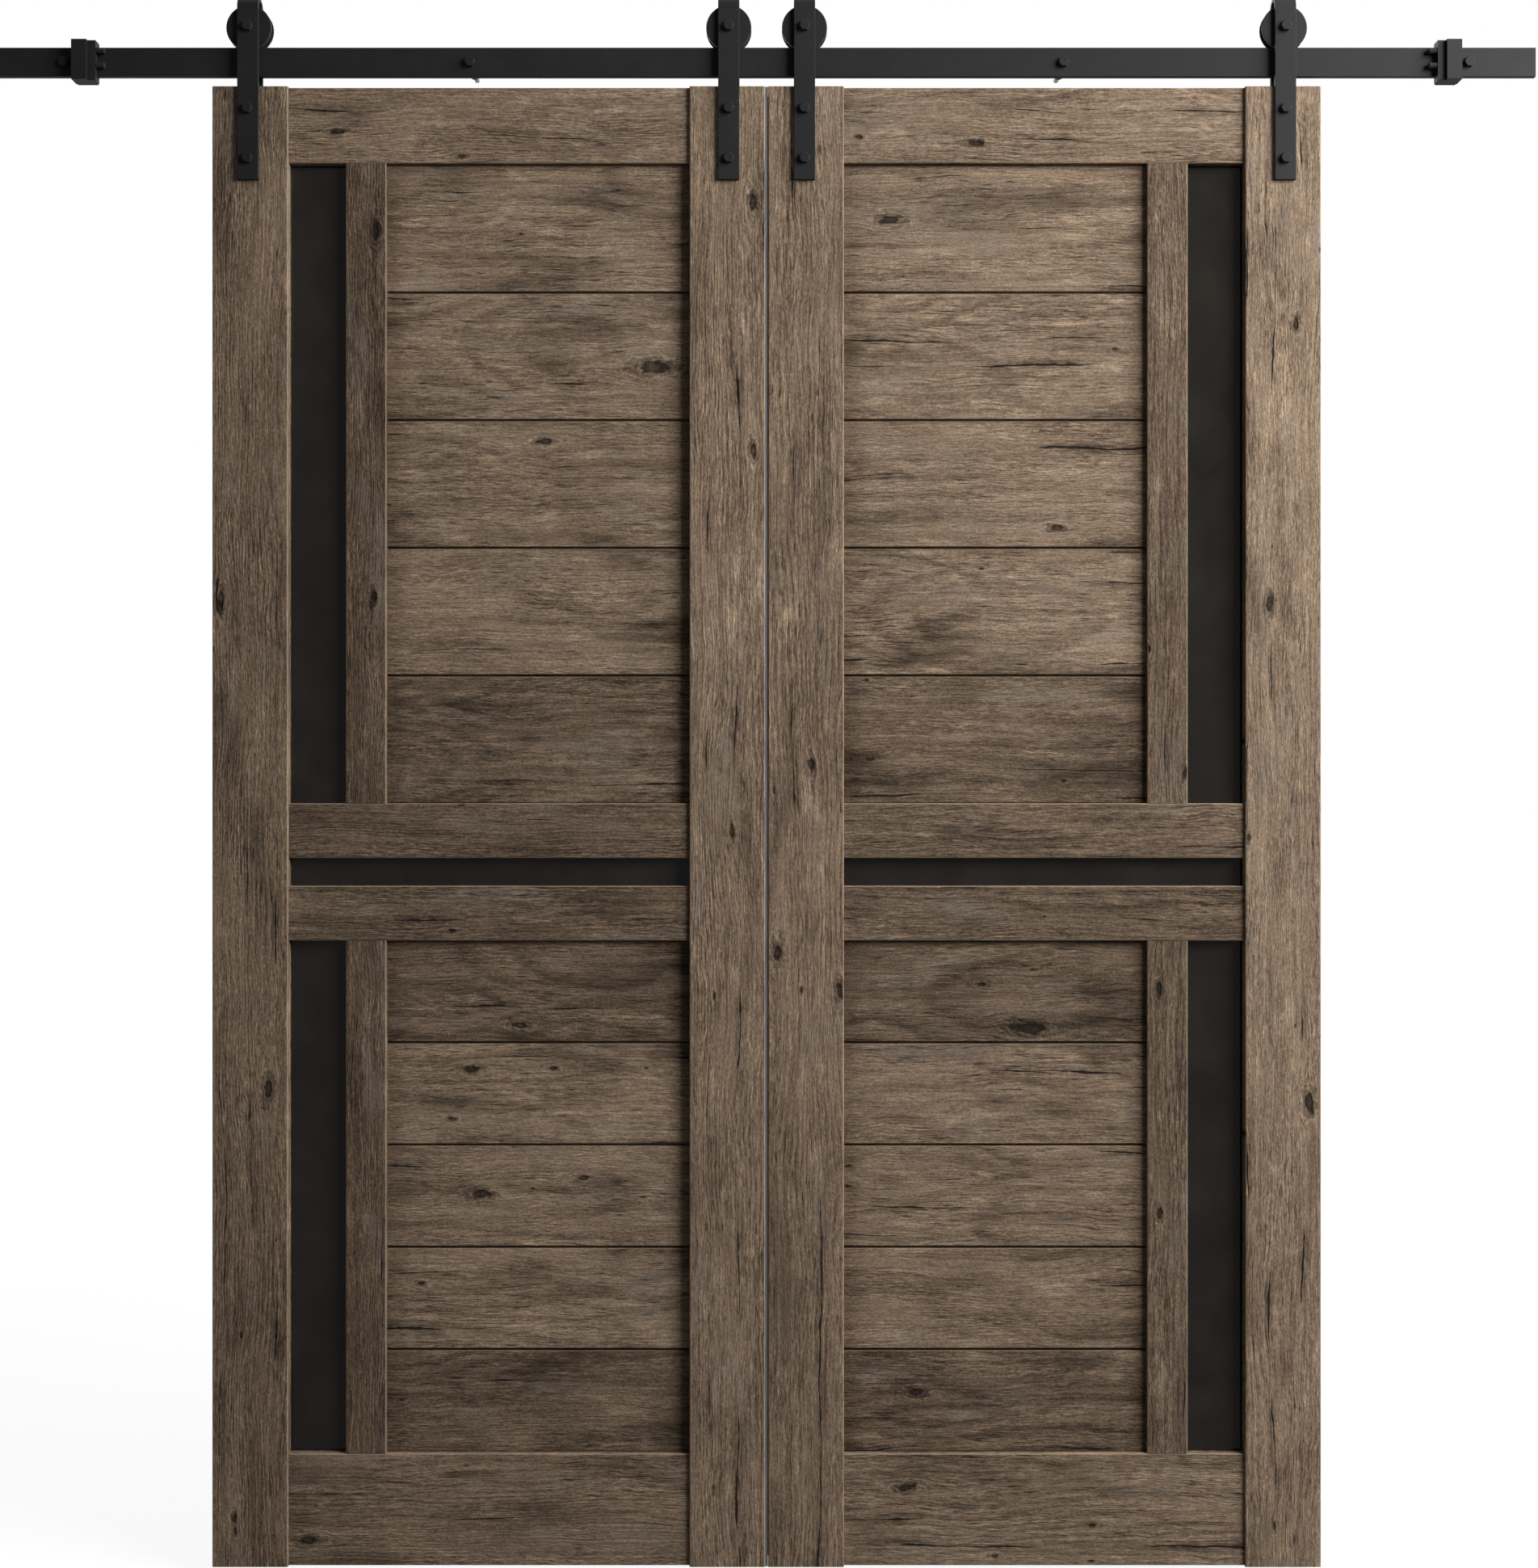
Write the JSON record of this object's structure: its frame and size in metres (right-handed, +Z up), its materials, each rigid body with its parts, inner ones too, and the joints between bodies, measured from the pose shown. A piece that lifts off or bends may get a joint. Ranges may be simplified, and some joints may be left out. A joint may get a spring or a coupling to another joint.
{
  "type": "pair of sliding barn doors",
  "caption": "Pair of sliding barn doors in weathered oak with boarded panels and black glass strips, hung by bent straps and grooved wheels on a flat black wall track with end stops.",
  "frame": {"origin": "on the wall plane, midway along the track and on its centre line", "axes": "+X along the track to the right as seen from the front, +Y into the wall, +Z up"},
  "size_m": [2.115, 0.0953, 2.155],
  "materials": {
    "weathered_oak": "matt, greyed and open-grained",
    "black_glass": "opaque black, polished",
    "black_steel": "matt black powder coat",
    "bright_steel": "ground, bare",
    "rubber": "moulded, matt",
    "dowel_beech": "fluted, bare"
  },
  "bodies": {
    "track": {"track_rail": "black_steel", "wall_standoffs": "black_steel", "wall_screws": "black_steel", "left_stop_block": "black_steel", "right_stop_block": "black_steel", "stop_clamp_plates": "black_steel", "stop_clamp_screws": "black_steel", "stop_bumpers": "rubber"},
    "left_leaf": {"left_outer_stile": "weathered_oak", "left_meeting_stile": "weathered_oak", "left_top_rail": "weathered_oak", "left_upper_middle_rail": "weathered_oak", "left_lower_middle_rail": "weathered_oak", "left_bottom_rail": "weathered_oak", "left_upper_mullion": "weathered_oak", "left_lower_mullion": "weathered_oak", "left_upper_boards": "weathered_oak", "left_lower_boards": "weathered_oak", "left_upper_pane": "black_glass", "left_middle_pane": "black_glass", "left_lower_pane": "black_glass", "left_dowels": "dowel_beech", "left_outer_strap": "black_steel", "left_inner_strap": "black_steel", "left_door_bolts": "black_steel", "left_sleeve_nuts": "black_steel", "left_axle_bolts": "black_steel", "left_axle_nuts": "black_steel", "left_axle_spacers": "bright_steel", "left_bearing_inner_rings": "bright_steel"},
    "right_leaf": {"right_outer_stile": "weathered_oak", "right_meeting_stile": "weathered_oak", "right_top_rail": "weathered_oak", "right_upper_middle_rail": "weathered_oak", "right_lower_middle_rail": "weathered_oak", "right_bottom_rail": "weathered_oak", "right_upper_mullion": "weathered_oak", "right_lower_mullion": "weathered_oak", "right_upper_boards": "weathered_oak", "right_lower_boards": "weathered_oak", "right_upper_pane": "black_glass", "right_middle_pane": "black_glass", "right_lower_pane": "black_glass", "right_dowels": "dowel_beech", "right_outer_strap": "black_steel", "right_inner_strap": "black_steel", "right_door_bolts": "black_steel", "right_sleeve_nuts": "black_steel", "right_axle_bolts": "black_steel", "right_axle_nuts": "black_steel", "right_axle_spacers": "bright_steel", "right_bearing_inner_rings": "bright_steel"},
    "left_outer_wheel": {"left_outer_wheel": "black_steel", "left_outer_bearing": "bright_steel"},
    "left_inner_wheel": {"left_inner_wheel": "black_steel", "left_inner_bearing": "bright_steel"},
    "right_outer_wheel": {"right_outer_wheel": "black_steel", "right_outer_bearing": "bright_steel"},
    "right_inner_wheel": {"right_inner_wheel": "black_steel", "right_inner_bearing": "bright_steel"}
  },
  "joints": [
    {"name": "left_slide", "type": "slide", "parent": "track", "child": "left_leaf", "axis": [-1, 0, 0], "range_m": [0, 0.182]},
    {"name": "left_outer_wheel_spin", "type": "hinge", "parent": "left_leaf", "child": "left_outer_wheel", "pos_m": [-0.711, -0.043, 0.046], "axis": [0, 1, 0], "continuous": true},
    {"name": "left_inner_wheel_spin", "type": "hinge", "parent": "left_leaf", "child": "left_inner_wheel", "pos_m": [-0.052, -0.043, 0.046], "axis": [0, 1, 0], "continuous": true},
    {"name": "right_slide", "type": "slide", "parent": "track", "child": "right_leaf", "axis": [1, 0, 0], "range_m": [0, 0.182]},
    {"name": "right_outer_wheel_spin", "type": "hinge", "parent": "right_leaf", "child": "right_outer_wheel", "pos_m": [0.711, -0.043, 0.046], "axis": [0, 1, 0], "continuous": true},
    {"name": "right_inner_wheel_spin", "type": "hinge", "parent": "right_leaf", "child": "right_inner_wheel", "pos_m": [0.052, -0.043, 0.046], "axis": [0, 1, 0], "continuous": true}
  ],
  "couplings": [
    {"joint": "left_outer_wheel_spin", "follows": "left_slide", "rad_per_m": -38.91},
    {"joint": "left_inner_wheel_spin", "follows": "left_slide", "rad_per_m": -38.91},
    {"joint": "right_outer_wheel_spin", "follows": "right_slide", "rad_per_m": 38.91},
    {"joint": "right_inner_wheel_spin", "follows": "right_slide", "rad_per_m": 38.91}
  ]
}
